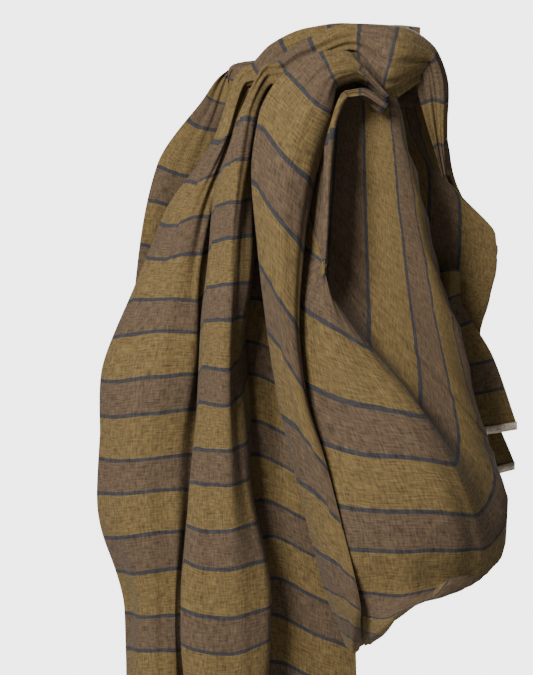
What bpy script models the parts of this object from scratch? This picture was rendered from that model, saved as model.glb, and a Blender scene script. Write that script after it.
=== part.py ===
"""Baby wrap sling hanging from one hook, modelled from the folds of its cloth.

The wrap is one long striped cloth caught over a hook near its middle. Its left half hangs in gathered
folds, the cloth that crosses the front makes an open pouch, and its right end hangs behind the pouch in
two layers. Each natural fold of the cloth is its own solid.

Metres, +Z up, +X to the right, +Y towards the wall. The origin is where the cloth rests on the hook.
"""

import math

import bmesh
import bpy
from mathutils import Vector

# Driving dimensions.
LEFT_DROP = 1.090          # hook seat down to the left fall's hem
POUCH_DROP = 0.615         # hook seat down to the lowest point of the pouch
RIGHT_DROP = 0.440         # hook seat down to the right end's lower layer
LAYER = 0.006              # thickness of one hanging layer with its small wrinkles
CLOTH = 0.0012             # thickness of the flat cloth
HEM_HEIGHT = 0.007         # height of the sewn end hem
HEM_THICKNESS = 0.007      # the hem is rolled, a little thicker than the layer above it
GAP = 0.0004               # clearance between touching pieces
ROLL_RADIUS = 0.018        # rolled cloth where it passes over the hook
LABEL_WIDTH = 0.022
LABEL_HEIGHT = 0.034

# Places of the layers from the wall outwards.
Y_WALL_LAYER = 0.042
Y_TAIL_LAYER = 0.020
Y_INNER_LAYER = -0.004
Y_POUCH_BACK = -0.030
Y_COLUMN = -0.045
Y_ARM = -0.086

# Joint axes, where each fall leaves the gather.
LEFT_PIVOT = Vector((-0.135, 0.0, -0.031))
POUCH_PIVOT = Vector((0.0, -0.040, -0.045))
RIGHT_PIVOT = Vector((0.040, 0.0, -0.056))
LABEL_PIVOT = Vector((-0.235, -0.024, -LEFT_DROP - HEM_HEIGHT - 0.0020))

# Mesh resolution of the lofted layers.
STEPS_ACROSS = 7
STEPS_ALONG = 12
TUBE_STEPS = 14
RING_POINTS = 12

OLIVE = (0.180, 0.125, 0.056, 1.0)
BROWN = (0.140, 0.098, 0.064, 1.0)
PALE = (0.560, 0.480, 0.400, 1.0)
CLOTH_ROUGHNESS = 0.90


def clear_scene():
    """Remove what the scene holds, so the script can be run again."""
    for old_object in list(bpy.data.objects):
        bpy.data.objects.remove(old_object, do_unlink=True)
    for old_collection in list(bpy.data.collections):
        bpy.data.collections.remove(old_collection)


def make_collection(name):
    """A collection in the scene with this name."""
    collection = bpy.data.collections.new(name)
    bpy.context.scene.collection.children.link(collection)
    return collection


def cloth_material(name, colour):
    """A matt cloth material of its own for one sub-part."""
    material = bpy.data.materials.new(name + "_cloth")
    material.use_nodes = True
    shader = material.node_tree.nodes["Principled BSDF"]
    shader.inputs["Base Color"].default_value = colour
    shader.inputs["Roughness"].default_value = CLOTH_ROUGHNESS
    shader.inputs["Metallic"].default_value = 0.0
    material.diffuse_color = colour
    return material


def make_pivot(collection, name, place):
    """An empty on a joint's axis, the parent of what swings there."""
    pivot = bpy.data.objects.new(name, None)
    pivot.empty_display_size = 0.03
    pivot.location = place
    collection.objects.link(pivot)
    return pivot


def hang_on(piece, pivot):
    """Parent a piece to its pivot and leave it where it is."""
    piece.parent = pivot
    piece.matrix_parent_inverse.identity()
    piece.location = piece.location - pivot.location


def smooth_curve(points, count):
    """Evenly stepped points on a Catmull-Rom curve through the given points."""
    points = [Vector(point) for point in points]
    before = points[0] * 2.0 - points[1]
    after = points[-1] * 2.0 - points[-2]
    knots = [before] + points + [after]
    spans = len(points) - 1
    curve = []
    for step in range(count):
        place = spans * step / (count - 1)
        span = min(int(place), spans - 1)
        u = place - span
        a, b, c, d = knots[span:span + 4]
        curve.append(
            0.5 * (2.0 * b + (c - a) * u + (2.0 * a - 5.0 * b + 4.0 * c - d) * u ** 2
                   + (3.0 * b - a - 3.0 * c + d) * u ** 3)
        )
    return curve


def lofted_layer(collection, name, ribs, colour, thickness=LAYER, pivot=None):
    """A hanging layer: a sheet lofted through ribs, thickened away from its front.

    Each rib is a list of points from the layer's left edge to its right edge, and the ribs run from the
    top down, so the sheet's front faces -Y.
    """
    across = [smooth_curve(rib, STEPS_ACROSS) for rib in ribs]
    columns = []
    for index in range(STEPS_ACROSS):
        column = [rib[index] for rib in across]
        columns.append(smooth_curve(column, STEPS_ALONG))
    mesh_builder = bmesh.new()
    grid = [[mesh_builder.verts.new(point) for point in column] for column in columns]
    for left, right in zip(grid, grid[1:]):
        for row in range(STEPS_ALONG - 1):
            mesh_builder.faces.new((left[row], left[row + 1], right[row + 1], right[row]))
    mesh = bpy.data.meshes.new(name)
    mesh_builder.to_mesh(mesh)
    mesh_builder.free()
    return finish_piece(collection, name, mesh, colour, thickness, pivot)


def finish_piece(collection, name, mesh, colour, thickness, pivot):
    """Link a mesh as a named piece, thicken it if it is a sheet, and hang it on its pivot."""
    piece = bpy.data.objects.new(name, mesh)
    collection.objects.link(piece)
    mesh.materials.append(cloth_material(name, colour))
    mesh.shade_smooth()
    if thickness:
        solid = piece.modifiers.new("thickness", "SOLIDIFY")
        solid.thickness = thickness
        solid.offset = -1.0
        solid.use_even_offset = True
    if pivot:
        hang_on(piece, pivot)
    return piece


def ring(left, right, middle_y, half_depth, height):
    """One level cross-section of a fold column: an ellipse between its left and right edges."""
    centre = 0.5 * (left + right)
    half_width = 0.5 * (right - left)
    points = []
    for step in range(RING_POINTS):
        angle = 2.0 * math.pi * step / RING_POINTS
        points.append(Vector((centre + half_width * math.cos(angle),
                              middle_y + half_depth * math.sin(angle),
                              height)))
    return points


def lofted_column(collection, name, sections, colour, pivot=None):
    """A closed fold: elliptical rings lofted from the top down and capped."""
    rings = [ring(*section) for section in sections]
    tracks = []
    for index in range(RING_POINTS):
        tracks.append(smooth_curve([one[index] for one in rings], STEPS_ALONG))
    mesh_builder = bmesh.new()
    grid = [[mesh_builder.verts.new(point) for point in track] for track in tracks]
    for index in range(RING_POINTS):
        here = grid[index]
        after = grid[(index + 1) % RING_POINTS]
        for row in range(STEPS_ALONG - 1):
            mesh_builder.faces.new((here[row], here[row + 1], after[row + 1], after[row]))
    mesh_builder.faces.new([track[0] for track in grid])
    mesh_builder.faces.new([track[-1] for track in reversed(grid)])
    bmesh.ops.recalc_face_normals(mesh_builder, faces=mesh_builder.faces)
    mesh = bpy.data.meshes.new(name)
    mesh_builder.to_mesh(mesh)
    mesh_builder.free()
    return finish_piece(collection, name, mesh, colour, 0.0, pivot)


def rolled_fold(collection, name, route, radii, colour):
    """Cloth rolled into a tube along a smooth route, its radius given at the route's points."""
    centre_line = smooth_curve(route, TUBE_STEPS)
    widths = smooth_curve([(radius, 0.0, 0.0) for radius in radii], TUBE_STEPS)
    curve = bpy.data.curves.new(name, "CURVE")
    curve.dimensions = "3D"
    curve.bevel_depth = ROLL_RADIUS
    curve.bevel_resolution = 2
    curve.use_fill_caps = True
    spline = curve.splines.new("POLY")
    spline.points.add(TUBE_STEPS - 1)
    for point, place, width in zip(spline.points, centre_line, widths):
        point.co = (*place, 1.0)
        point.radius = width.x
    piece = bpy.data.objects.new(name, curve)
    collection.objects.link(piece)
    curve.materials.append(cloth_material(name, colour))
    return piece


def hem_strip(collection, name, route, pivot):
    """The sewn end hem: a thin strip that hangs just under a layer's lower edge."""
    top = [Vector(point) for point in route]
    low = [point - Vector((0.0, 0.0, HEM_HEIGHT)) for point in top]
    return lofted_layer(collection, name, [top, low], PALE, HEM_THICKNESS, pivot)


def build_gather(collection):
    """The cloth over the hook: two rolled folds, the roll at the right, and the pinch under the hook."""
    rolled_fold(
        collection, "rear_roll",
        [(-0.137, 0.012, -0.042), (-0.126, 0.012, -0.020), (-0.097, 0.012, 0.004),
         (-0.055, 0.012, 0.016), (0.000, 0.012, 0.0184), (0.034, 0.010, 0.006)],
        [0.80, 0.95, 1.00, 1.00, 1.00, 0.70], OLIVE)
    rolled_fold(
        collection, "front_roll",
        [(-0.117, -0.028, -0.034), (-0.095, -0.028, -0.014), (-0.055, -0.027, 0.004),
         (-0.020, -0.028, 0.0155), (0.010, -0.030, 0.014)],
        [0.75, 0.90, 0.95, 0.85, 0.55], BROWN)
    rolled_fold(
        collection, "right_roll",
        [(0.038, -0.034, 0.004), (0.050, -0.028, -0.030), (0.053, -0.020, -0.066),
         (0.057, -0.012, -0.098), (0.062, -0.004, -0.122)],
        [1.15, 1.20, 1.00, 0.80, 0.50], BROWN)
    lofted_column(
        collection, "knot",
        [(-0.009, 0.009, -0.040, 0.008, -0.034), (-0.018, 0.016, -0.042, 0.013, -0.048),
         (-0.017, 0.015, -0.042, 0.013, -0.062), (-0.008, 0.008, -0.040, 0.008, -0.078)],
        OLIVE)


def build_left_fall(collection, pivot):
    """The half that hangs to the left: a layer at the wall, a broad front fan and a tube-like fold."""
    y = Y_WALL_LAYER
    lofted_layer(
        collection, "left_rear_panel",
        [[(-0.216, y, -0.058), (-0.185, y, -0.045), (-0.152, y, -0.034)],
         [(-0.236, y, -0.130), (-0.190, y + 0.004, -0.126), (-0.120, y, -0.122)],
         [(-0.250, y, -0.210), (-0.190, y + 0.006, -0.212), (-0.090, y, -0.210)],
         [(-0.262, y, -0.400), (-0.180, y + 0.006, -0.406), (-0.080, y, -0.400)],
         [(-0.250, y, -0.700), (-0.170, y + 0.006, -0.706), (-0.078, y, -0.700)],
         [(-0.240, y, 0.010 - LEFT_DROP), (-0.165, y, 0.006 - LEFT_DROP), (-0.085, y, 0.010 - LEFT_DROP)]],
        OLIVE, LAYER, pivot)
    lofted_layer(
        collection, "left_front_panel",
        [[(-0.166, 0.006, -0.078), (-0.160, -0.004, -0.076), (-0.156, -0.010, -0.074)],
         [(-0.205, 0.014, -0.126), (-0.192, -0.006, -0.126), (-0.174, -0.022, -0.124)],
         [(-0.247, 0.018, -0.208), (-0.220, -0.010, -0.212), (-0.182, -0.028, -0.208)],
         [(-0.290, 0.018, -0.346), (-0.245, -0.024, -0.352), (-0.192, -0.034, -0.346)],
         [(-0.297, 0.018, -0.420), (-0.250, -0.028, -0.428), (-0.200, -0.036, -0.420)],
         [(-0.281, 0.018, -0.500), (-0.250, -0.028, -0.508), (-0.206, -0.038, -0.500)],
         [(-0.260, 0.018, -0.616), (-0.235, -0.024, -0.622), (-0.206, -0.038, -0.616)],
         [(-0.258, 0.018, 0.008 - LEFT_DROP), (-0.235, -0.024, 0.004 - LEFT_DROP),
          (-0.206, -0.038, 0.008 - LEFT_DROP)]],
        OLIVE, LAYER, pivot)
    y = Y_COLUMN
    lofted_column(
        collection, "left_fold_column",
        [(-0.148, -0.130, y, 0.008, -0.080), (-0.165, -0.133, y, 0.014, -0.126),
         (-0.176, -0.136, y, 0.018, -0.186), (-0.183, -0.139, y, 0.020, -0.266),
         (-0.186, -0.144, y, 0.020, -0.346), (-0.194, -0.132, y, 0.020, -0.440),
         (-0.199, -0.122, y, 0.020, -0.506), (-0.202, -0.114, y, 0.020, -0.616),
         (-0.200, -0.116, y, 0.018, 0.010 - LEFT_DROP)],
        BROWN, pivot)
    y = Y_INNER_LAYER
    lofted_layer(
        collection, "left_inner_panel",
        [[(-0.142, y, -0.078), (-0.120, y, -0.074), (-0.096, y, -0.078)],
         [(-0.150, y, -0.180), (-0.110, y + 0.006, -0.184), (-0.062, y, -0.180)],
         [(-0.160, y, -0.400), (-0.100, y + 0.006, -0.406), (-0.040, y, -0.400)],
         [(-0.165, y, -0.660), (-0.096, y + 0.006, -0.666), (-0.027, y, -0.660)],
         [(-0.165, y, 0.012 - LEFT_DROP), (-0.100, y, 0.008 - LEFT_DROP), (-0.035, y, 0.012 - LEFT_DROP)]],
        BROWN, LAYER, pivot)
    hem_top = -LEFT_DROP + 0.003
    hem_strip(collection, "left_hem_front",
              [(-0.258, 0.018, hem_top), (-0.235, -0.024, hem_top - 0.003), (-0.206, -0.038, hem_top)],
              pivot)
    hem_strip(collection, "left_hem_rear",
              [(-0.240, Y_WALL_LAYER, hem_top), (-0.165, Y_WALL_LAYER, hem_top - 0.003),
               (-0.085, Y_WALL_LAYER, hem_top)],
              pivot)


def build_pouch(collection, pivot):
    """The cloth that crosses the front: an arm that runs down into an open pouch."""
    y = Y_ARM
    lofted_layer(
        collection, "pouch_arm",
        [[(-0.106, y + 0.022, -0.026), (-0.068, y + 0.010, -0.006), (-0.026, y + 0.018, -0.016)],
         [(-0.120, y + 0.014, -0.056), (-0.084, y - 0.004, -0.050), (-0.048, y + 0.012, -0.054)],
         [(-0.132, y + 0.014, -0.096), (-0.100, y - 0.008, -0.096), (-0.066, y + 0.012, -0.096)],
         [(-0.131, y + 0.010, -0.161), (-0.104, y - 0.010, -0.161), (-0.078, y + 0.010, -0.161)],
         [(-0.120, y + 0.008, -0.247), (-0.102, y - 0.010, -0.247), (-0.086, y + 0.004, -0.247)],
         [(-0.110, y + 0.008, -0.325), (-0.096, y - 0.010, -0.325), (-0.082, y, -0.325)],
         [(-0.097, y + 0.008, -0.385), (-0.082, y - 0.014, -0.385), (-0.066, y - 0.008, -0.385)],
         [(-0.071, y + 0.008, -0.484), (-0.055, y - 0.022, -0.484), (-0.038, y - 0.022, -0.484)],
         [(-0.048, y + 0.016, -0.583), (-0.034, y - 0.010, -0.583), (-0.020, y - 0.012, -0.583)]],
        OLIVE, LAYER, pivot)
    lofted_layer(
        collection, "pouch_front",
        [[(-0.080, y - 0.002, -0.236), (-0.062, y - 0.008, -0.234), (-0.042, y - 0.004, -0.232)],
         [(-0.079, y - 0.004, -0.292), (-0.045, y - 0.018, -0.292), (-0.006, y - 0.014, -0.290)],
         [(-0.070, y - 0.012, -0.346), (-0.022, y - 0.036, -0.350), (0.034, y - 0.026, -0.342)],
         [(-0.050, y - 0.024, -0.416), (0.010, y - 0.060, -0.424), (0.078, y - 0.034, -0.410)],
         [(-0.031, y - 0.034, -0.486), (0.035, y - 0.072, -0.496), (0.108, y - 0.016, -0.484)],
         [(-0.014, y - 0.014, -0.572), (0.035, y - 0.046, -0.552), (0.106, y, -0.520)]],
        BROWN, LAYER, pivot)
    y = Y_POUCH_BACK
    lofted_layer(
        collection, "pouch_back",
        [[(-0.010, y, -0.084), (0.000, y, -0.084), (0.010, y, -0.084)],
         [(-0.040, y + 0.004, -0.118), (-0.006, y, -0.118), (0.022, y, -0.118)],
         [(-0.062, y + 0.004, -0.190), (-0.010, y, -0.190), (0.050, y, -0.190)],
         [(-0.066, y + 0.004, -0.290), (0.000, y, -0.290), (0.069, y, -0.290)],
         [(-0.052, y + 0.004, -0.364), (0.020, y - 0.002, -0.364), (0.093, y - 0.004, -0.364)],
         [(-0.036, y + 0.002, -0.450), (0.036, y - 0.004, -0.450), (0.122, y - 0.012, -0.450)],
         [(-0.026, y - 0.006, -0.520), (0.040, y - 0.010, -0.522), (0.120, y - 0.018, -0.500)]],
        OLIVE, LAYER, pivot)
    build_pouch_bottom(collection, pivot)


def build_pouch_bottom(collection, pivot):
    """The gutter that joins the pouch's front and back faces along its lower edge."""
    low = -POUCH_DROP
    lofted_layer(
        collection, "pouch_bottom",
        [[(-0.034, -0.094, low + 0.024), (0.030, -0.124, low + 0.050), (0.104, -0.082, low + 0.086)],
         [(-0.036, -0.096, low + 0.012), (0.035, -0.112, low + 0.026), (0.104, -0.084, low + 0.072)],
         [(-0.036, -0.074, low + 0.003), (0.035, -0.082, low + 0.012), (0.102, -0.070, low + 0.060)],
         [(-0.034, -0.050, low + 0.014), (0.035, -0.052, low + 0.028), (0.102, -0.056, low + 0.068)],
         [(-0.032, -0.044, low + 0.060), (0.035, -0.044, low + 0.070), (0.102, -0.052, low + 0.094)]],
        BROWN, LAYER, pivot)


def build_right_fall(collection, pivot):
    """The end that hangs behind the pouch: a back panel and the tail's two layers with their hems."""
    y = Y_WALL_LAYER
    lofted_layer(
        collection, "right_rear_panel",
        [[(0.006, y - 0.010, -0.084), (0.014, y - 0.010, -0.086), (0.022, y - 0.010, -0.090)],
         [(0.004, y - 0.006, -0.126), (0.038, y - 0.008, -0.127), (0.072, y - 0.008, -0.128)],
         [(0.006, y - 0.004, -0.182), (0.062, y - 0.008, -0.182), (0.119, y - 0.004, -0.183)],
         [(0.010, y - 0.002, -0.262), (0.056, y - 0.004, -0.262), (0.101, y, -0.262)],
         [(0.020, y, -0.330), (0.058, y, -0.330), (0.098, y, -0.330)]],
        BROWN, LAYER, pivot)
    y = Y_TAIL_LAYER
    upper_edge = 0.067 - RIGHT_DROP
    lofted_layer(
        collection, "right_tail_upper",
        [[(0.040, y - 0.008, -0.240), (0.066, y - 0.008, -0.240), (0.094, y - 0.006, -0.244)],
         [(0.042, y - 0.006, -0.310), (0.078, y - 0.008, -0.310), (0.113, y - 0.004, -0.312)],
         [(0.044, y - 0.004, upper_edge - 0.010), (0.088, y - 0.008, upper_edge - 0.006),
          (0.135, y, upper_edge)]],
        OLIVE, LAYER, pivot)
    y = Y_WALL_LAYER
    lofted_layer(
        collection, "right_tail_lower",
        [[(0.030, y, -0.340), (0.070, y, -0.340), (0.108, y, -0.340)],
         [(0.034, y, -0.385), (0.080, y, -0.385), (0.126, y, -0.380)],
         [(0.040, y, 0.014 - RIGHT_DROP), (0.090, y, 0.012 - RIGHT_DROP), (0.136, y, 0.026 - RIGHT_DROP)]],
        BROWN, LAYER, pivot)
    y = Y_TAIL_LAYER
    hem_strip(collection, "right_hem_front",
              [(0.044, y - 0.004, upper_edge - 0.014), (0.088, y - 0.008, upper_edge - 0.010),
               (0.135, y, upper_edge - 0.004)],
              pivot)
    y = Y_WALL_LAYER
    hem_strip(collection, "right_hem_rear",
              [(0.040, y, 0.010 - RIGHT_DROP), (0.090, y, 0.008 - RIGHT_DROP), (0.136, y, 0.022 - RIGHT_DROP)],
              pivot)


def build_label(collection, pivot):
    """The blank care label that hangs from its stitched edge under the left front hem."""
    half_width = 0.5 * LABEL_WIDTH
    top = -GAP
    ribs = []
    for height in (top, top - LABEL_HEIGHT):
        ribs.append([LABEL_PIVOT + Vector((side * half_width, 0.0, height)) for side in (-1.0, 0.0, 1.0)])
    lofted_layer(collection, "care_label", ribs, PALE, CLOTH, pivot)


def main():
    """Build the whole wrap."""
    clear_scene()
    parts = make_collection("baby_wrap_sling")
    build_gather(parts)
    build_left_fall(parts, make_pivot(parts, "left_fall_axis", LEFT_PIVOT))
    build_pouch(parts, make_pivot(parts, "pouch_axis", POUCH_PIVOT))
    build_right_fall(parts, make_pivot(parts, "right_fall_axis", RIGHT_PIVOT))
    build_label(parts, make_pivot(parts, "label_axis", LABEL_PIVOT))


main()
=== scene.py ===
"""Baby wrap sling on a hook: striped linen hanging in folds, with an open pouch in front.

The cloth is lofted between fold lines, the ridges and valleys a hanging cloth falls into. Most fold lines
follow an edge of a CAD fold, found by cutting the fold across at the heights its stripes reach. The rest lie
between those lines, or are worked out by a formula. The distance down the cloth also sets the stripes, so
they follow the folds. The heights of the stripes were measured on the photograph, and the eases, shares and
offsets were fitted to an earlier draft measured on it. Depths behind the visible folds are guesses.
"""

import math

import bmesh
import bpy
import numpy as np
from mathutils import Matrix, Vector, noise


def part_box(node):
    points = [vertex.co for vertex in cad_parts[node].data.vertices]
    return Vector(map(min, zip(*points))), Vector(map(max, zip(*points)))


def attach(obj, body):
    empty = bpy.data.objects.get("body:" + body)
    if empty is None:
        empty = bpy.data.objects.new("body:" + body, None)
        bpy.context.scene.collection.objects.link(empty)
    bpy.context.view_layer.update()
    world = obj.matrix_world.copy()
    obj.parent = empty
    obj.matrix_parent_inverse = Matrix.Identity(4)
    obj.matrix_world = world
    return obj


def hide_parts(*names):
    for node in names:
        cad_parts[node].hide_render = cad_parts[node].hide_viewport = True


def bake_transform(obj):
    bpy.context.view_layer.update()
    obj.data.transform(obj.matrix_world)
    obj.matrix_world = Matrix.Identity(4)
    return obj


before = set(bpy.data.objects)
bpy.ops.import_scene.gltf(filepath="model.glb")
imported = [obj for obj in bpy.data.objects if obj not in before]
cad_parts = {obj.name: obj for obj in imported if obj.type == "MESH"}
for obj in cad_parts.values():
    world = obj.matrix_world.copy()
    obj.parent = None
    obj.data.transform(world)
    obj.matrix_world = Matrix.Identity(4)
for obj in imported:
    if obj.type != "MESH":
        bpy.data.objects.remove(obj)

MM = 0.001

# The weave, in millimetres down the cloth.
BROWN_BAND = 35.0
OLIVE_BAND = 45.0
LINE = 3.5
REPEAT = BROWN_BAND + OLIVE_BAND

# Mesh resolution: millimetres between rows, and columns between fold lines.
ROW_STEP = 4.0
SPAN_STEPS = 10

# Linear colours.
BROWN = (0.066, 0.043, 0.0245, 1.0)
OLIVE = (0.092, 0.061, 0.0220, 1.0)
LINE_BLUE = (0.026, 0.024, 0.025, 1.0)
PALE = (0.420, 0.350, 0.270, 1.0)
TAPE = (0.700, 0.670, 0.610, 1.0)

LIGHT_STRENGTH = 0.27
BACKDROP_STRENGTH = 5.0

LEFT_HEM_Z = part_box("left_hem_front")[1][2] / MM
LEFT_END = 930.0
PLEATS = 5
PLEAT_STEP = 50.0
TAIL_END = 160.0


# Places taken from the CAD folds.

CUT_MARGIN = 1.5
ABOVE_TOP = 25.0
ROLL_LEAST = 15.0


def crossing(name, axis, place):
    """Where a CAD fold's mesh edges cross a plane, in millimetres; the plane is kept within the fold."""
    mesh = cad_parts[name].data
    corners = np.array([vertex.co for vertex in mesh.vertices]) / MM
    lowest = corners[:, axis].min() + CUT_MARGIN
    highest = corners[:, axis].max() - CUT_MARGIN
    place = min(max(place, lowest), highest)
    ends = np.array([edge.vertices[:] for edge in mesh.edges])
    a = corners[ends[:, 0]]
    b = corners[ends[:, 1]]
    cut = (a[:, axis] - place) * (b[:, axis] - place) < 0
    a = a[cut]
    b = b[cut]
    share = ((place - a[:, axis]) / (b[:, axis] - a[:, axis]))[:, None]
    return a + (b - a) * share


def edge_point(name, side, height):
    """The left (-1) or right (1) edge of a CAD fold at a height."""
    cut = crossing(name, 2, height)
    return cut[np.argmax(cut[:, 0] * side)]


def cad_edge(name, side, rows, level, right=0.0, back=0.0):
    """A fold line down one edge of a CAD fold, with level giving the height of each row."""
    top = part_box(name)[1][2] / MM + ABOVE_TOP
    line = []
    for t in rows:
        x, y, _ = edge_point(name, side, level(t))
        line.append((t, x + right, y + back, min(level(t), top)))
    return line


def roll_stations(cuts, first):
    """Centres and radii along a roll, from cuts (name, axis, place), and how far along the cloth each is."""
    stations = []
    t = first
    for name, axis, place in cuts:
        cut = crossing(name, axis, place)
        low = cut.min(axis=0)
        high = cut.max(axis=0)
        centre = (low + high) / 2.0
        if stations:
            t -= float(np.linalg.norm(centre - np.array(stations[-1][1:4])))
        stations.append((t, *centre, max(ROLL_LEAST, (high[1] - low[1]) / 2.0)))
    return stations


# Curves and lofts.

def monotone_curve(knots, values, places):
    """Values at places on a cubic through the knots that never overshoots them."""
    knots = np.asarray(knots, float)
    values = np.asarray(values, float)
    step = np.diff(knots)[:, None]
    slope = np.diff(values, axis=0) / step
    tangent = np.zeros_like(values)
    tangent[0] = slope[0]
    tangent[-1] = slope[-1]
    before = slope[:-1]
    after = slope[1:]
    same_way = before * after > 0
    total = np.where(same_way, before + after, 1.0)
    tangent[1:-1] = np.where(same_way, 2.0 * before * after / total, 0.0)
    places = np.clip(places, knots[0], knots[-1])
    span = np.clip(np.searchsorted(knots, places, side="right") - 1, 0, len(knots) - 2)
    width = step[span]
    u = ((places - knots[span])[:, None]) / width
    start = values[span] * (2 * u ** 3 - 3 * u ** 2 + 1)
    start += tangent[span] * width * (u ** 3 - 2 * u ** 2 + u)
    end = values[span + 1] * (3 * u ** 2 - 2 * u ** 3)
    end += tangent[span + 1] * width * (u ** 3 - u ** 2)
    return start + end


def down_line(line, rows):
    """A fold line's points at every row."""
    line = np.array(sorted(line), float)
    return monotone_curve(line[:, 0], line[:, 1:], rows)


def between(a, b, share, out, sag=0.0):
    """A fold line part of the way from a to b, standing out towards the room and sagging further down."""
    places = np.array([point[0] for point in a], float)
    middle = down_line(a, places) * (1.0 - share) + down_line(b, places) * share
    middle[:, 1] -= out
    middle[:, 2] -= sag * np.clip(places / 300.0, 0.0, 1.0) * (places < LEFT_END)
    return [(t, *point) for t, point in zip(places, middle)]


def moved(line, right, back, up):
    """A fold line shifted by up to these amounts, but not where the cloth gathers at its two ends."""
    shifted = []
    for t, x, y, z in line:
        share = min(1.0, max(0.0, (t + 20.0) / 80.0), max(0.0, (380.0 - t) / 180.0))
        shifted.append((t, x + right * share, y + back * share, z + up * share))
    return shifted


def pleated(line, depth, nearest, gap):
    """A line running along the cloth, carried on past both ends in flat pleats stacked towards the wall."""
    line = sorted(line)
    before = []
    after = []
    for pleat in range(PLEATS):
        inward = depth if pleat % 2 == 0 else 0.0
        reach = PLEAT_STEP * (pleat + 1)
        y = nearest + gap * pleat
        before.append((line[0][0] - reach, line[0][1] + inward, y, line[0][3]))
        if pleat < PLEATS - 1:
            after.append((line[-1][0] + reach, line[-1][1] + inward, y + 4.0 * gap, line[-1][3]))
    return before + line + after


def pleat_lines(a, b, count, depth):
    """Hidden fold lines from a to b, going in and out by depth."""
    lines = []
    for fold in range(1, count + 1):
        inward = depth if fold % 2 else 0.0
        middle = between(a, b, fold / (count + 1.0), 0.0)
        lines.append([(t, x + inward, y, z) for t, x, y, z in middle])
    return lines


def on_roll(stations, angle, share=1.0):
    """A fold line's run round a roll: 0 degrees is the wall side, 90 outside the bend, 180 the front."""
    centres = np.array([station[1:4] for station in stations], float)
    headings = np.gradient(centres, axis=0)
    line = []
    for station, centre, heading in zip(stations, centres, headings):
        heading = heading / np.linalg.norm(heading)
        outside = np.cross(heading, (0.0, 1.0, 0.0))
        turn = math.radians(angle)
        arm = np.array((0.0, math.cos(turn), 0.0)) + outside * math.sin(turn)
        line.append((station[0], *(centre + arm * station[4] * share)))
    return line


def loft(lines, first_row, last_row):
    """A grid of points, columns by rows, through the fold lines; also each row's place down the cloth."""
    count = int(round((last_row - first_row) / ROW_STEP)) + 1
    rows = np.linspace(first_row, last_row, count)
    folds = np.array([down_line(line, rows) for line in lines])
    gaps = np.linalg.norm(np.diff(folds, axis=0), axis=2).mean(axis=1)
    knots = np.concatenate(([0.0], np.cumsum(np.maximum(gaps, 4.0))))
    spans = [np.linspace(a, b, SPAN_STEPS, endpoint=False) for a, b in zip(knots, knots[1:])]
    places = np.concatenate(spans + [[knots[-1]]])
    grid = monotone_curve(knots, folds.reshape(len(lines), -1), places)
    return grid.reshape(len(places), count, 3), rows


def across(grid):
    """How far each point is across the cloth, measured along its row."""
    steps = np.linalg.norm(np.diff(grid, axis=0), axis=2)
    return np.concatenate((np.zeros((1, grid.shape[1])), np.cumsum(steps, axis=0)))


def crease(grid, rows, seed, pleat, broad, gathered_to):
    """Small pleats running down from the gathers, and broad soft unevenness, along the cloth's normals."""
    along_columns = np.gradient(grid, axis=0)
    along_rows = np.gradient(grid, axis=1)
    normals = np.cross(along_columns, along_rows)
    normals /= np.maximum(np.linalg.norm(normals, axis=2, keepdims=True), 1e-6)
    widths = across(grid)
    mean_width = widths.mean(axis=1)
    height = np.zeros(grid.shape[:2])
    droop = np.zeros(grid.shape[:2])
    for i in range(grid.shape[0]):
        side = min(mean_width[i], mean_width[-1] - mean_width[i])
        fade = min(1.0, side / 12.0)
        for j, t in enumerate(rows):
            gather = math.exp(-max(0.0, t - gathered_to) / 120.0)
            fine = noise.noise(Vector((mean_width[i] / 7.0, t / 150.0, seed)))
            long_pleat = noise.noise(Vector((mean_width[i] / 17.0, t / 260.0, seed + 9.0)))
            soft = noise.noise(Vector((mean_width[i] / 42.0, t / 110.0, seed + 21.0)))
            uneven = noise.noise(Vector((mean_width[i] / 55.0, t / 90.0, seed + 33.0)))
            droop[i, j] = fade * broad * 0.9 * uneven
            height[i, j] = fade * (pleat * (fine * (0.25 + gather) + long_pleat * 1.1) + broad * soft)
    creased = grid + normals * height[:, :, None]
    creased[:, :, 2] -= droop * np.clip((rows[-1] - rows) / 60.0, 0.0, 1.0)
    return creased


def cloth_mesh(name, grids, material):
    """One mesh from grids with their rows, with a UV map in metres across and down the cloth."""
    mesh = bmesh.new()
    uv_layer = mesh.loops.layers.uv.new("Cloth")
    for grid, rows in grids:
        widths = across(grid).mean(axis=1)
        columns, count = grid.shape[:2]
        corners = [[mesh.verts.new(grid[i, j] * MM) for j in range(count)] for i in range(columns)]
        for i in range(columns - 1):
            for j in range(count - 1):
                cells = ((i, j), (i + 1, j), (i + 1, j + 1), (i, j + 1))
                face = mesh.faces.new([corners[a][b] for a, b in cells])
                face.smooth = True
                for loop, (a, b) in zip(face.loops, cells):
                    loop[uv_layer].uv = (widths[a] * MM, rows[b] * MM)
    bmesh.ops.remove_doubles(mesh, verts=mesh.verts, dist=0.00002)
    data = bpy.data.meshes.new(name)
    mesh.to_mesh(data)
    mesh.free()
    data.materials.append(material)
    piece = bpy.data.objects.new(name, data)
    bpy.context.scene.collection.objects.link(piece)
    return piece


# Materials.

def node(tree, kind, **values):
    """A shader node with its inputs set by name."""
    made = tree.nodes.new(kind)
    for key, value in values.items():
        made.inputs[key.replace("_", " ")].default_value = value
    return made


def thread_noise(tree, uv, across_scale, down_scale):
    """Uneven threads running one way through the weave."""
    mapping = node(tree, "ShaderNodeMapping", Scale=(across_scale, down_scale, 1.0))
    texture = node(tree, "ShaderNodeTexNoise", Scale=1.0, Detail=3.0, Roughness=0.6)
    tree.links.new(uv.outputs["UV"], mapping.inputs["Vector"])
    tree.links.new(mapping.outputs["Vector"], texture.inputs["Vector"])
    return texture.outputs["Fac"]


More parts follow.
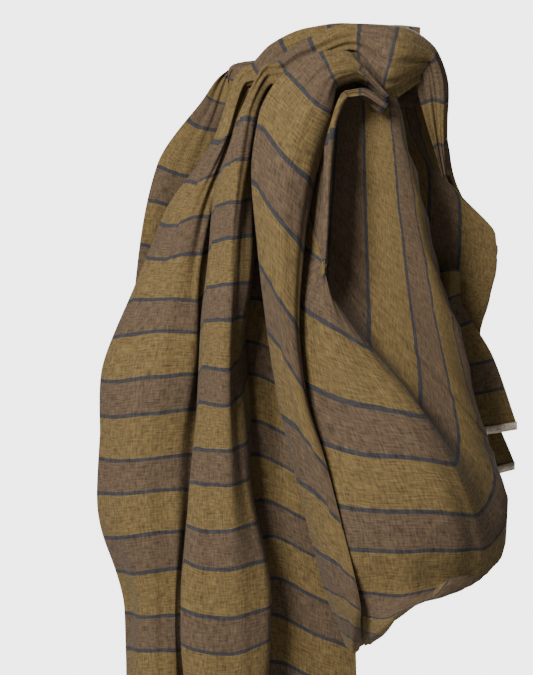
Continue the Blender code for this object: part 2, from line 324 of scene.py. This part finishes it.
def average(tree, a, b):
    """The mean of two values."""
    total = tree.nodes.new("ShaderNodeMath")
    total.operation = "MULTIPLY_ADD"
    total.inputs[1].default_value = 1.0
    half = tree.nodes.new("ShaderNodeMath")
    half.operation = "MULTIPLY"
    half.inputs[1].default_value = 0.5
    tree.links.new(a, total.inputs[0])
    tree.links.new(b, total.inputs[2])
    tree.links.new(total.outputs[0], half.inputs[0])
    return half.outputs[0]


def stripe_colour(tree, uv):
    """Brown and olive bands with a thin blue-grey line at each change."""
    split = tree.nodes.new("ShaderNodeSeparateXYZ")
    phase = tree.nodes.new("ShaderNodeMath")
    phase.operation = "MULTIPLY_ADD"
    phase.inputs[1].default_value = 1.0 / (REPEAT * MM)
    phase.inputs[2].default_value = 20.0
    turn = tree.nodes.new("ShaderNodeMath")
    turn.operation = "FRACT"
    bands = tree.nodes.new("ShaderNodeValToRGB")
    bands.color_ramp.interpolation = "CONSTANT"
    stops = bands.color_ramp.elements
    stops[0].color = LINE_BLUE
    stops[1].position = LINE / REPEAT
    stops[1].color = BROWN
    second_line = stops.new(BROWN_BAND / REPEAT)
    second_line.color = LINE_BLUE
    olive = stops.new((BROWN_BAND + LINE) / REPEAT)
    olive.color = OLIVE
    tree.links.new(uv.outputs["UV"], split.inputs[0])
    tree.links.new(split.outputs["Y"], phase.inputs[0])
    tree.links.new(phase.outputs[0], turn.inputs[0])
    tree.links.new(turn.outputs[0], bands.inputs["Fac"])
    return bands.outputs["Color"]


def woven_material(name, plain=None):
    """Slubby matt linen, striped unless a plain colour is given."""
    material = bpy.data.materials.new(name)
    material.use_nodes = True
    tree = material.node_tree
    shader = tree.nodes["Principled BSDF"]
    shader.inputs["Roughness"].default_value = 0.9
    shader.inputs["Specular IOR Level"].default_value = 0.2
    shader.inputs["Sheen Weight"].default_value = 0.03
    uv = tree.nodes.new("ShaderNodeUVMap")
    uv.uv_map = "Cloth"
    warp = thread_noise(tree, uv, 700.0, 110.0)
    weft = thread_noise(tree, uv, 110.0, 700.0)
    weave = average(tree, warp, weft)
    shade = node(tree, "ShaderNodeMapRange", From_Min=0.35, From_Max=0.65, To_Min=0.45, To_Max=1.60)
    tint = tree.nodes.new("ShaderNodeVectorMath")
    tint.operation = "SCALE"
    if plain is None:
        tree.links.new(stripe_colour(tree, uv), tint.inputs[0])
    else:
        tint.inputs[0].default_value = plain[:3]
    bump = node(tree, "ShaderNodeBump", Strength=0.45, Distance=0.0008)
    tree.links.new(weave, shade.inputs["Value"])
    tree.links.new(shade.outputs["Result"], tint.inputs["Scale"])
    tree.links.new(tint.outputs[0], shader.inputs["Base Color"])
    tree.links.new(weave, bump.inputs["Height"])
    tree.links.new(bump.outputs["Normal"], shader.inputs["Normal"])
    return material


# The left fall and the two rolls it makes over the hook.

REAR_ROLL = roll_stations([("rear_roll", 0, x) for x in (-140, -125, -105, -72, -36, 10, 36)], -105.0)
FRONT_ROLL_CUTS = [("front_roll", 0, x) for x in (-116, -106, -82, -32)]
RIGHT_ROLL_CUTS = [("right_roll", 2, z) for z in (-8, -34, -66, -96, -120)]

# The cap of cloth over the hook, where the front roll widens and turns down.
CAP_RADIUS = 40.0


def front_roll():
    """The front roll, the cap, and the roll's narrowing end."""
    left = roll_stations(FRONT_ROLL_CUTS, -105.0)
    low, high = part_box("front_roll")
    cap = np.array((high[0] / MM - 5.0, low[1] / MM + 10.0, high[2] / MM - CAP_RADIUS))
    cap_row = left[-1][0] - float(np.linalg.norm(cap - np.array(left[-1][1:4])))
    right = roll_stations(RIGHT_ROLL_CUTS, 0.0)
    right_row = cap_row - float(np.linalg.norm(cap - np.array(right[0][1:4])))
    narrowing = np.linspace(0.85, 0.15, len(right))
    end = [(t + right_row, x, y, z, r * share) for (t, x, y, z, r), share in zip(right, narrowing)]
    return left + [(cap_row, *cap, CAP_RADIUS)] + end


FRONT_ROLL = front_roll()


def left_level(stripe):
    """Heights down the left fall from a stripe's; what the drop has over is taken up towards the hem."""
    extra = LEFT_HEM_Z - (stripe - LEFT_END)
    return lambda t: stripe - t + extra * max(0.0, t / LEFT_END) ** 3


LEFT_ROWS = (-80, 0, 80, 160, 275, 400, 520, LEFT_END)
REAR_ROWS = (-140, -60) + LEFT_ROWS[1:]

# left_level takes the height at which the stripe at row 0 crosses the fold.
SELVEDGE = cad_edge("left_rear_panel", -1, REAR_ROWS, left_level(-106.0), 0, -4)
REAR_FOLD = cad_edge("left_rear_panel", 1, REAR_ROWS, left_level(-134.0), 0, -10)
COLUMN_EDGE = cad_edge("left_front_panel", -1, LEFT_ROWS, left_level(-165.0))
VALLEY = cad_edge("left_fold_column", -1, LEFT_ROWS, left_level(-160.0), 0, 30)
COLUMN_BACK = between(COLUMN_EDGE, VALLEY, 0.6, -26)
FRONT_LEFT = cad_edge("left_fold_column", -1, LEFT_ROWS, left_level(-150.0), 0, -10)
FRONT_RIGHT = cad_edge("left_fold_column", 1, LEFT_ROWS, left_level(-145.0), 0, -10)
HIDDEN_VALLEY = cad_edge("left_fold_column", 1, LEFT_ROWS, left_level(-124.0), 0, 15)
INNER_LEFT = cad_edge("left_fold_column", 1, LEFT_ROWS, left_level(-124.0), 8, 23)
INNER_RIGHT = cad_edge("left_inner_panel", 1, LEFT_ROWS, left_level(-164.0), 0, -12)


def left_fall_grids():
    """The rear and the front half of the left fall, joined under the rear roll and down the valley."""
    rear = [
        on_roll(REAR_ROLL[3:], -60, 0.4) + SELVEDGE,
        on_roll(REAR_ROLL[3:], -35, 0.6) + between(SELVEDGE, REAR_FOLD, 0.5, -5),
        on_roll(REAR_ROLL[3:], -10, 0.85) + REAR_FOLD,
        on_roll(REAR_ROLL, 25) + COLUMN_BACK,
        on_roll(REAR_ROLL, 75) + COLUMN_EDGE,
        on_roll(REAR_ROLL, 125) + between(COLUMN_EDGE, VALLEY, 0.22, 22),
        on_roll(REAR_ROLL, 175) + between(COLUMN_EDGE, VALLEY, 0.60, 28),
        on_roll(REAR_ROLL, 215) + between(COLUMN_EDGE, VALLEY, 0.86, 18),
        on_roll(REAR_ROLL, 255) + VALLEY,
    ]
    front = [
        on_roll(REAR_ROLL, 255) + VALLEY,
        on_roll(FRONT_ROLL, 60) + between(VALLEY, FRONT_LEFT, 0.3, 0),
        on_roll(FRONT_ROLL, 90) + FRONT_LEFT,
        on_roll(FRONT_ROLL, 130) + between(FRONT_LEFT, FRONT_RIGHT, 0.22, 16, 7),
        on_roll(FRONT_ROLL, 175) + between(FRONT_LEFT, FRONT_RIGHT, 0.55, 21, 11),
        on_roll(FRONT_ROLL, 215) + between(FRONT_LEFT, FRONT_RIGHT, 0.84, 13, 6),
        on_roll(FRONT_ROLL, 250) + FRONT_RIGHT,
        on_roll(FRONT_ROLL, 290, 0.9) + HIDDEN_VALLEY,
        on_roll(FRONT_ROLL, 325, 0.75) + INNER_LEFT,
        on_roll(FRONT_ROLL, 350, 0.6) + between(INNER_LEFT, INNER_RIGHT, 0.5, 3),
        on_roll(FRONT_ROLL, 20, 0.45) + INNER_RIGHT,
    ]
    grids = []
    for lines, first_row, seed in ((rear, REAR_ROLL[-1][0], 3.0), (front, FRONT_ROLL[-1][0], 11.0)):
        grid, rows = loft(lines, first_row, LEFT_END)
        grids.append((crease(grid, rows, seed, 3.2, 8.0, -40.0), rows))
    return grids


# The pouch: an arm of cloth from the knot, a hidden tuck, the cowl, its rim, and the back rising again.

POUCH_END = 470.0
POUCH_ROWS = (35, 75, 115, 155, 195, 235, 275, 315, 355)
POUCH_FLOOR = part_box("pouch_bottom")[0][2] / MM
KNOT = np.array([(low + high) / 2.0 / MM for low, high in zip(*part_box("knot"))])
ARM_TOP = np.array(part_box("pouch_arm")[1]) / MM

# The arch over the hook: its cross-section is an oval ring.
ARCH_WIDTH = 16.0
ARCH_DEPTH = 18.0
ARCH_HEIGHT = 42.0
ARCH_RISE = 12.0
KNOT_FRONT = np.array((0.0, -24.0, 8.0))
ARCH = ARM_TOP - np.array((ARCH_HEIGHT, 12.0, ARCH_HEIGHT - 4.0))


def arch_start(angle, spread):
    """A pouch line's start, from the knot to the arch's ring; 0 degrees is its top, 90 its front."""
    turn = math.radians(angle)
    arm = np.array((ARCH_WIDTH * math.sin(turn), -ARCH_DEPTH * math.sin(turn), ARCH_HEIGHT * math.cos(turn)))
    start = KNOT + KNOT_FRONT
    stations = (
        (-80, 0.0, 0.2), (-45, 0.40, 0.55 * spread), (-20, 0.64, 0.8 * spread), (0, 1.0, 1.0),
    )
    line = []
    for t, share, size in stations:
        rise = np.array((0.0, 0.0, ARCH_RISE * math.sin(math.pi * share)))
        line.append((t, *(start * (1.0 - share) + ARCH * share + arm * size + rise)))
    return line


def pouch_level(top, above_floor, ease):
    """Heights round the pouch, from the arch down to its floor; a smaller ease falls sooner."""
    bottom = POUCH_FLOOR + above_floor
    return lambda t: top + (bottom - top) * (1.0 - math.cos(math.pi * (t / POUCH_END) ** ease)) / 2.0


def pouch_line(name, side, angle, spread, above_floor, ease, right, back, end):
    """A line down an edge of a CAD fold, from the knot to where the cloth turns under the pouch."""
    start = arch_start(angle, spread)
    level = pouch_level(start[-1][3], above_floor, ease)
    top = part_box(name)[1][2] / MM
    gathered = [t for t in POUCH_ROWS if level(t) > top]
    spread_out = [t for t in POUCH_ROWS if level(t) <= top]
    middle = cad_edge(name, -1, gathered, level, -4, back)
    middle += cad_edge(name, side, spread_out, level, right, back)
    return start + middle + [(POUCH_END, *end, POUCH_FLOOR + above_floor)]


ARM_LEFT = pouch_line("pouch_arm", -1, 0, 1.0, 19, 0.85, 0, 4, (-39, -44))
ARM_RIGHT = pouch_line("pouch_arm", 1, 75, 1.0, 13, 0.73, 0, -14, (-30, -56))
COWL_LEFT = pouch_line("pouch_front", -1, 130, 0.2, 19, 0.65, -4, 4, (-20, -54))
RIM = pouch_line("pouch_front", 1, 180, 0.2, 45, 0.56, -14, -2, (-5, -28))
COWL_FRONT = between(COWL_LEFT, RIM, 0.65, 16)
TUCK = moved(between(ARM_RIGHT, COWL_LEFT, 0.5, -10), -20, 0, 0)


def back_top():
    """The top of the pouch's back, drawn in under the knot."""
    line = arch_start(310, 0.2)
    for t in POUCH_ROWS + (POUCH_END,):
        share = min(1.0, t / 195.0)
        inward = share * share * (3.0 - 2.0 * share)
        x = line[3][1] * (1.0 - inward) + (KNOT[0] + 6.0) * inward
        y = line[3][2] + 52.0 * (t / POUCH_END) ** 1.8
        line.append((t, x, y, line[3][3] - 24.0 * t / POUCH_END))
    return line


def inside_rim():
    """The line just inside the rim, further back and rising towards the pouch's far side."""
    line = arch_start(215, 0.2)
    for t, x, y, z in RIM:
        share = t / POUCH_END
        if share > 0:
            outward = 30.0 * math.sin(math.pi * max(0.0, share - 0.35) / 0.65)
            inward = 12.0 + 26.0 * math.sin(math.pi * share)
            line.append((t, x + outward, y + inward, z + 66.0 * share))
    return line


BACK_TOP = back_top()
POUCH_VALLEY = inside_rim()
BACK_LOW = between(POUCH_VALLEY, BACK_TOP, 0.16, -12)
BACK_HIGH = between(POUCH_VALLEY, BACK_TOP, 0.58, -10)


def pouch_grids():
    """The pouch's cloth, from the left edge of its arm round to its back's top."""
    lines = [
        moved(ARM_LEFT, 48, 22, 0),
        ARM_LEFT,
        between(ARM_LEFT, ARM_RIGHT, 0.30, 15),
        between(ARM_LEFT, ARM_RIGHT, 0.68, 15),
        ARM_RIGHT,
        moved(TUCK, -8, 18, 0),
        COWL_LEFT,
        between(COWL_LEFT, COWL_FRONT, 0.5, 10, 4),
        COWL_FRONT,
        RIM,
        POUCH_VALLEY,
        BACK_LOW,
        BACK_HIGH,
        BACK_TOP,
        moved(BACK_TOP, -6, 16, -80),
    ]
    grid, rows = loft(lines, -80.0, 468.0)
    return [(crease(grid, rows, 31.0, 3.0, 6.0, 20.0), rows)]


# The right fall: a short layer from the hook, and the doubled end below it.

LAYER_SHARES = (0.0, 0.36, 0.64, 1.0)
LAYER_FIRST = -45.0
LAYER_WIDTH = 125.0
LAYER_RETURN = LAYER_FIRST + LAYER_WIDTH + 70.0


def layer_line(left_height, right_height):
    """A line across the short layer between the CAD layer's edges, with a hidden return behind it."""
    left = edge_point("right_rear_panel", -1, left_height)
    right = edge_point("right_rear_panel", 1, right_height)
    line = []
    for share in LAYER_SHARES:
        x, y, _ = left * (1.0 - share) + right * share
        z = left_height * (1.0 - share) + right_height * share
        line.append((LAYER_FIRST + LAYER_WIDTH * share, x, y - 20.0 + 12.0 * share, z))
    line.append((LAYER_RETURN, right[0] / 2.0, 45.0, right_height + 6.0))
    return line


def hook_line():
    """The short layer's top, lying over the hook."""
    line = []
    for share in LAYER_SHARES:
        line.append((LAYER_FIRST + LAYER_WIDTH * share, 30.0 * share - 2.0, 4.0, 8.0 - 10.0 * share ** 2))
    line.append((LAYER_RETURN, 12.0, 10.0, 0.0))
    return line


LAYER_AT_HOOK = hook_line()
LAYER_TOP = layer_line(-46.0, -124.0)
LAYER_BEHIND = between(LAYER_AT_HOOK, LAYER_TOP, 0.5, -14)
LAYER_SHOULDER = layer_line(-86.0, -181.0)
LAYER_MIDDLE = layer_line(-146.0, -205.0)
LAYER_LOW = layer_line(-262.0, -292.0)
LAYER_TUCK = layer_line(-325.0, -338.0)

TAIL_ROWS = (-45, 0, 80, 160)


def tail_level(stripe, slope):
    """Heights down the doubled end; a slope under 1 is cloth running outwards as well as down."""
    return lambda t: stripe - slope * t


TAIL_RIGHT = cad_edge("right_tail_upper", 1, TAIL_ROWS, tail_level(-238.0, 0.83), 2, 2)
TAIL_LEFT = cad_edge("right_tail_upper", -1, TAIL_ROWS, tail_level(-251.0, 0.83), 8, 2)
TAIL_FRONT = between(TAIL_RIGHT, TAIL_LEFT, 0.4, 10)
TAIL_HIDDEN = [(t, x - 12.0, y + 11.0, z - 12.0) for t, x, y, z in TAIL_LEFT]
TAIL_REAR_LEFT = cad_edge("right_tail_lower", -1, TAIL_ROWS, tail_level(-274.0, 0.97), 14, -6)
TAIL_REAR_RIGHT = cad_edge("right_tail_lower", 1, TAIL_ROWS, tail_level(-276.0, 0.85), 0, -2)
TAIL_REAR = between(TAIL_REAR_LEFT, TAIL_REAR_RIGHT, 0.5, 0)


def right_fall_grids():
    """The short layer and the doubled end."""
    layer_lines = [LAYER_BEHIND, LAYER_TOP, LAYER_SHOULDER, LAYER_MIDDLE, LAYER_LOW, LAYER_TUCK]
    layer_lines = [pleated(line, 40.0, 36.0, 2.5) for line in layer_lines]
    layer_lines.insert(0, pleated(LAYER_AT_HOOK, 8.0, 6.0, 0.6))
    layer, layer_rows = loft(layer_lines, -295.0, 350.0)
    tail_lines = [TAIL_RIGHT, TAIL_FRONT, TAIL_LEFT, *pleat_lines(TAIL_LEFT, TAIL_HIDDEN, 5, 32.0)]
    tail_lines += [TAIL_HIDDEN, *pleat_lines(TAIL_HIDDEN, TAIL_REAR_LEFT, 5, 32.0)]
    tail_lines += [TAIL_REAR_LEFT, TAIL_REAR, TAIL_REAR_RIGHT]
    tail, tail_rows = loft(tail_lines, -45.0, TAIL_END)
    return [
        (crease(layer, layer_rows, 51.0, 1.6, 2.0, -60.0), layer_rows),
        (crease(tail, tail_rows, 61.0, 1.4, 1.6, -60.0), tail_rows),
    ]


# Hems and label.

HEM_HEIGHT = 6.5
LEFT_HEM_HEIGHT = LEFT_HEM_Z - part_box("left_hem_front")[0][2] / MM
LABEL_SEAM = 5.0
STITCH = 2.6
STITCH_STEP = 4.2
HEM_HALF = 1.2


def hem_grid(grid, height):
    """A narrow sewn band, a flattened loop, below the last row of a cloth grid."""
    edge = grid[:, -1]
    direction = np.gradient(edge, axis=0)
    normal = np.stack((-direction[:, 1], direction[:, 0], np.zeros(len(edge))), axis=1)
    normal /= np.maximum(np.linalg.norm(normal, axis=1, keepdims=True), 1e-6)
    section = [(HEM_HALF, 1.5), (HEM_HALF, -height), (-HEM_HALF, -height), (-HEM_HALF, 1.5)]
    section.append(section[0])
    sides = [edge + normal * out + np.array((0.0, 0.0, up)) for out, up in section]
    return np.stack(sides, axis=1), np.array((0.0, 8.0, 11.0, 19.0, 22.0))


def hem_stitches(name, grids, height, material):
    """A row of short raised stitches along the room side of a hem."""
    mesh = bmesh.new()
    mesh.loops.layers.uv.new("Cloth")
    for grid in grids:
        side = hem_grid(grid, height)[0]
        run = across(side[:, 1:2])[:, 0]
        for start in np.arange(2.0, run[-1] - STITCH, STITCH_STEP):
            places = (start, start + STITCH)
            ends = [[np.interp(place, run, side[:, 1, axis]) for axis in range(3)] for place in places]
            a, b = np.array(ends) + np.array((0.0, 0.0, height * 0.85))
            middle = Vector((a + b) / 2.0) * MM
            length = max(0.0008, float(np.linalg.norm(b - a)) * MM)
            turn = Vector(b - a).to_track_quat("X", "Z").to_matrix().to_4x4()
            thread = bmesh.ops.create_icosphere(mesh, subdivisions=1, radius=1.0)["verts"]
            bmesh.ops.scale(mesh, verts=thread, vec=(length * 0.5, 0.0008, 0.0004))
            bmesh.ops.transform(mesh, verts=thread, matrix=Matrix.Translation(middle) @ turn)
    data = bpy.data.meshes.new(name)
    mesh.to_mesh(data)
    mesh.free()
    data.materials.append(material)
    piece = bpy.data.objects.new(name, data)
    bpy.context.scene.collection.objects.link(piece)
    return piece


def care_label(material):
    """A small folded tape sewn into the hem."""
    low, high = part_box("care_label")
    middle = (low + high) / 2.0 / MM
    half = (high[0] - low[0]) / 2.0 / MM
    heights = np.linspace(high[2] / MM + LABEL_SEAM, low[2] / MM, 8)
    grid = np.zeros((9, 8, 3))
    for i, x in enumerate(np.linspace(-half, half, 9)):
        for j, z in enumerate(heights):
            grid[i, j] = (middle[0] + x, middle[1] - 0.6 * math.sin(j / 7.0 * math.pi), z)
    return cloth_mesh("care_label_tape", [(grid, heights[0] - heights)], material)


# Studio.

def area_light(name, place, aim, size, power):
    """A soft square light."""
    lamp = bpy.data.lights.new(name, "AREA")
    lamp.size = size
    lamp.energy = power
    light = bpy.data.objects.new(name, lamp)
    light.location = place
    light.rotation_euler = (Vector(aim) - Vector(place)).to_track_quat("-Z", "Y").to_euler()
    bpy.context.scene.collection.objects.link(light)


def studio():
    """A pale floor well below, an even pale surround, a soft key from the upper left, and the camera."""
    bpy.ops.mesh.primitive_plane_add(size=12.0, location=(0.0, 0.0, -1.6))
    floor = bpy.context.object
    floor.name = "studio_floor"
    pale = bpy.data.materials.new("pale_floor")
    pale.use_nodes = True
    pale.node_tree.nodes["Principled BSDF"].inputs["Base Color"].default_value = (0.8, 0.8, 0.8, 1.0)
    floor.data.materials.append(pale)
    world = bpy.data.worlds.new("studio_world")
    world.use_nodes = True
    surround = world.node_tree.nodes["Background"]
    surround.inputs["Color"].default_value = (0.83, 0.83, 0.83, 1.0)
    seen = world.node_tree.nodes.new("ShaderNodeLightPath")
    strength = node(world.node_tree, "ShaderNodeMapRange", To_Min=LIGHT_STRENGTH, To_Max=BACKDROP_STRENGTH)
    world.node_tree.links.new(seen.outputs["Is Camera Ray"], strength.inputs["Value"])
    world.node_tree.links.new(strength.outputs["Result"], surround.inputs["Strength"])
    bpy.context.scene.world = world
    area_light("key_light", (-1.45, -2.1, 1.1), (-0.1, 0.0, -0.3), 0.9, 180.0)
    area_light("rear_fill", (0.9, 2.4, 0.9), (0.0, 0.0, -0.5), 1.6, 70.0)
    lens = bpy.data.cameras.new("studio_camera")
    lens.lens = 213.3
    lens.sensor_width = 36.0
    camera = bpy.data.objects.new("studio_camera", lens)
    camera.location = (-0.1185, -4.05, -0.2835)
    camera.rotation_euler = (math.pi / 2.0, 0.0, 0.0)
    bpy.context.scene.collection.objects.link(camera)
    bpy.context.scene.camera = camera


def main():
    """Dress every body and set the stage."""
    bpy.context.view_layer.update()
    linen = woven_material("striped_linen")
    hem = woven_material("end_hem", PALE)
    tape = woven_material("label_tape", TAPE)

    left_parts = left_fall_grids()
    left = cloth_mesh("left_fall_cloth", left_parts, linen)
    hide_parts("rear_roll", "front_roll", "right_roll", "left_rear_panel", "left_front_panel",
                "left_fold_column", "left_inner_panel")
    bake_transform(left)

    left_hem = cloth_mesh("left_end_hem", [hem_grid(grid, LEFT_HEM_HEIGHT) for grid, rows in left_parts], hem)
    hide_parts("left_hem_front", "left_hem_rear")
    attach(left_hem, "left_fall")
    left_edges = [grid for grid, rows in left_parts]
    left_stitches = hem_stitches("left_hem_stitches", left_edges, LEFT_HEM_HEIGHT, tape)
    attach(left_stitches, "left_fall")

    pouch = cloth_mesh("pouch_cloth", pouch_grids(), linen)
    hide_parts("knot", "pouch_arm", "pouch_front", "pouch_back", "pouch_bottom")
    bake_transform(pouch)

    right_parts = right_fall_grids()
    right = cloth_mesh("right_fall_cloth", right_parts, linen)
    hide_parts("right_rear_panel", "right_tail_upper", "right_tail_lower")
    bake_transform(right)

    right_hem = cloth_mesh("right_end_hem", [hem_grid(right_parts[1][0], HEM_HEIGHT)], hem)
    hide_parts("right_hem_front", "right_hem_rear")
    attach(right_hem, "right_fall")
    right_stitches = hem_stitches("right_hem_stitches", [right_parts[1][0]], HEM_HEIGHT, tape)
    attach(right_stitches, "right_fall")

    label = care_label(tape)
    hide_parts("care_label")
    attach(label, "label")

    studio()


main()
